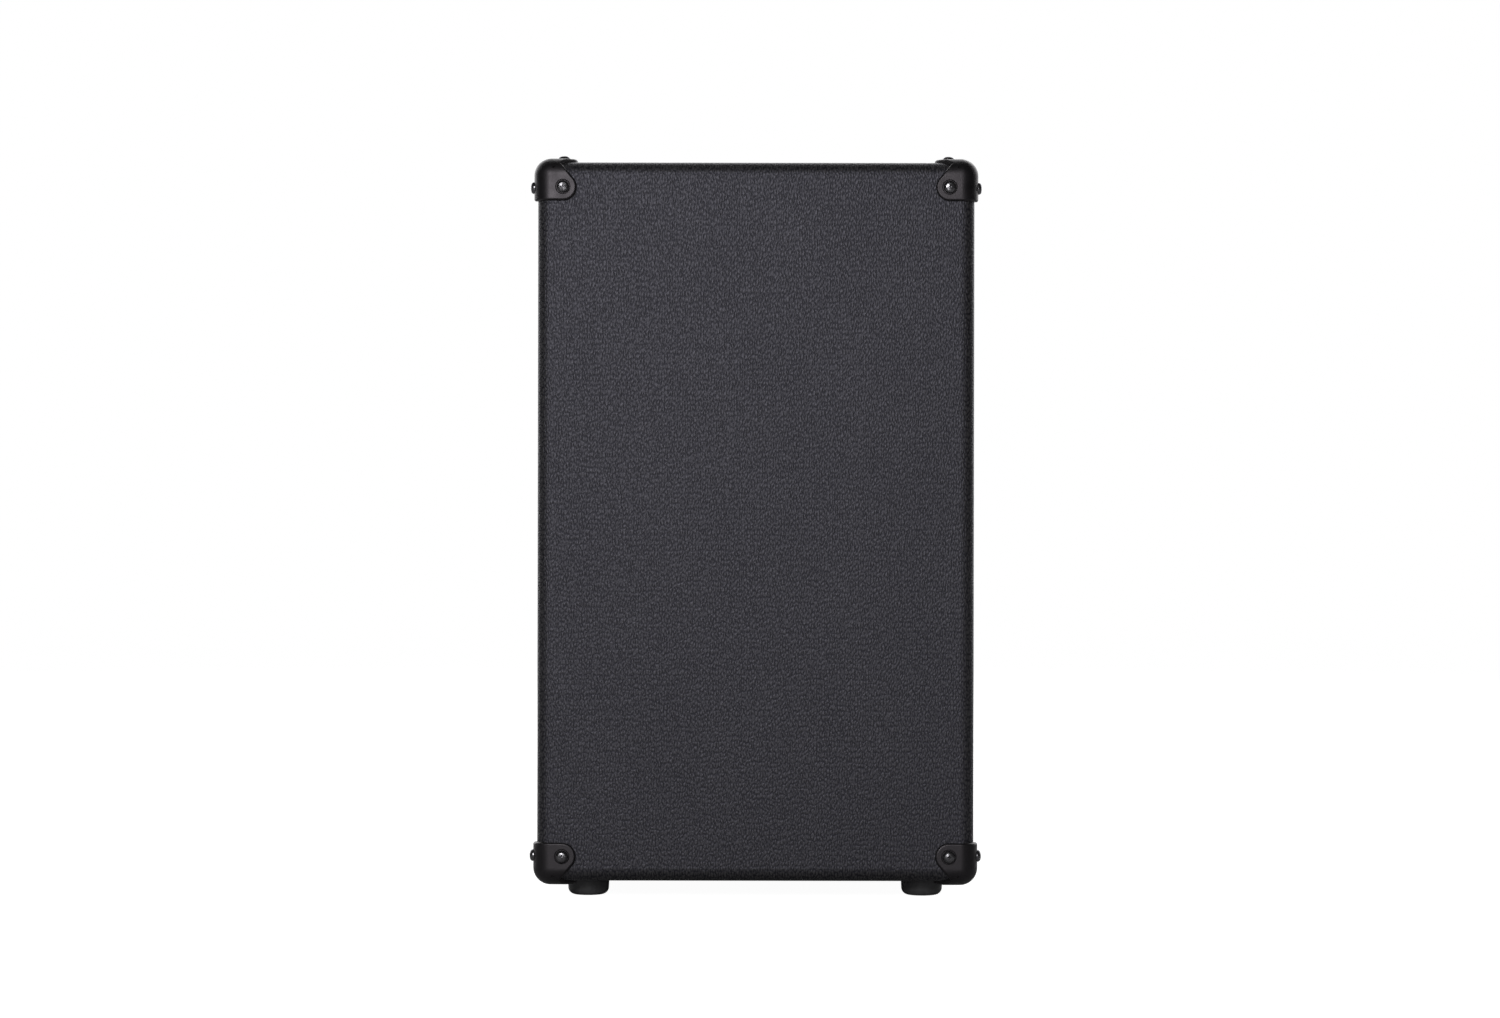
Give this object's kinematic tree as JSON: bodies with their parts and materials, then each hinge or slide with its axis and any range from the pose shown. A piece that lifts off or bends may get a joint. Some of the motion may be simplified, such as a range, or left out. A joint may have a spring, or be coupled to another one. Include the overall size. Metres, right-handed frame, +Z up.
{
  "type": "guitar speaker cabinet",
  "caption": "Closed-back guitar speaker cabinet: vinyl-covered plywood box with a cloth grille, moulded corner protectors, rubber feet, strap handle and rear jack cup.",
  "frame": {"origin": "centre of the footprint, on the floor under the feet", "axes": "+X to the cabinet's right side as seen from the front, +Y to the back, +Z up"},
  "size_m": [0.5906, 0.3156, 0.5324],
  "materials": {
    "plywood": "matte",
    "black_vinyl": "satin",
    "grille_cloth": "matte",
    "piping_vinyl": "satin",
    "hook_and_loop": "matte",
    "corner_plastic": "satin",
    "black_screw": "gloss",
    "foot_rubber": "matte",
    "zinc_steel": "satin",
    "strap_rubber": "satin",
    "basket_paint": "satin",
    "cone_paper": "matte",
    "gasket_board": "matte",
    "spider_cloth": "matte",
    "former_film": "satin",
    "coil_copper": "satin",
    "motor_steel": "satin",
    "ferrite": "matte",
    "phenolic": "satin",
    "tab_brass": "satin",
    "tinsel_braid": "matte",
    "jack_nickel": "gloss",
    "red_insulation": "satin",
    "black_insulation": "satin"
  },
  "bodies": {
    "cabinet": {"back_panel": "plywood", "back_panel_screws": "black_screw", "back_panel_washers": "black_screw", "back_tolex": "black_vinyl", "baffle_board": "plywood", "baffle_cleats": "plywood", "black_wires": "black_insulation", "bottom_panel": "plywood", "corner_front_left_bottom": "corner_plastic", "corner_front_left_top": "corner_plastic", "corner_front_right_bottom": "corner_plastic", "corner_front_right_top": "corner_plastic", "corner_rear_left_bottom": "corner_plastic", "corner_rear_left_top": "corner_plastic", "corner_rear_right_bottom": "corner_plastic", "corner_rear_right_top": "corner_plastic", "corner_screws": "black_screw", "foot_front_left": "foot_rubber", "foot_front_right": "foot_rubber", "foot_rear_left": "foot_rubber", "foot_rear_right": "foot_rubber", "foot_screws": "zinc_steel", "foot_washers": "zinc_steel", "front_plate": "motor_steel", "grille_cloth": "grille_cloth", "grille_frame": "plywood", "grille_piping": "piping_vinyl", "handle_caps": "corner_plastic", "handle_screws": "black_screw", "hook_and_loop_pads": "hook_and_loop", "jack_cup": "corner_plastic", "jack_cup_screws": "black_screw", "jack_frame_input": "jack_nickel", "jack_frame_link": "jack_nickel", "jack_insulators": "phenolic", "jack_nuts": "jack_nickel", "left_side_panel": "plywood", "rear_cleats": "plywood", "red_wires": "red_insulation", "right_side_panel": "plywood", "ring_magnet": "ferrite", "solder_tabs": "tab_brass", "speaker_basket": "basket_paint", "speaker_bolts": "zinc_steel", "speaker_gasket": "gasket_board", "speaker_spider": "spider_cloth", "speaker_surround": "cone_paper", "tee_nuts": "zinc_steel", "terminal_strip": "phenolic", "tinsel_leads": "tinsel_braid", "tolex_cover": "black_vinyl", "top_panel": "plywood", "yoke": "motor_steel"},
    "cone_assembly": {"speaker_cone": "cone_paper", "dust_cap": "cone_paper", "voice_coil_former": "former_film", "voice_coil": "coil_copper"},
    "strap": {"handle_strap": "strap_rubber"},
    "input_tip_spring": {"jack_tip_spring_input": "tab_brass"},
    "link_tip_spring": {"jack_tip_spring_link": "tab_brass"}
  },
  "joints": [
    {"name": "cone_travel", "type": "slide", "parent": "cabinet", "child": "cone_assembly", "axis": [0, -1, 0], "range_m": [-0.003, 0.003], "stiffness_N_per_m": 10000, "deforming": ["speaker_surround", "speaker_spider", "tinsel_leads"]},
    {"name": "strap_lift", "type": "slide", "parent": "cabinet", "child": "strap", "axis": [0, 0, 1], "range_m": [0, 0.004]},
    {"name": "input_tip_flex", "type": "hinge", "parent": "cabinet", "child": "input_tip_spring", "pos_m": [-0.013, 0.10215, 0.14675], "axis": [-1, 0, 0], "range_deg": [0, 8], "stiffness_Nm_per_rad": 0.3},
    {"name": "link_tip_flex", "type": "hinge", "parent": "cabinet", "child": "link_tip_spring", "pos_m": [0.013, 0.10215, 0.14675], "axis": [-1, 0, 0], "range_deg": [0, 8], "stiffness_Nm_per_rad": 0.3}
  ]
}
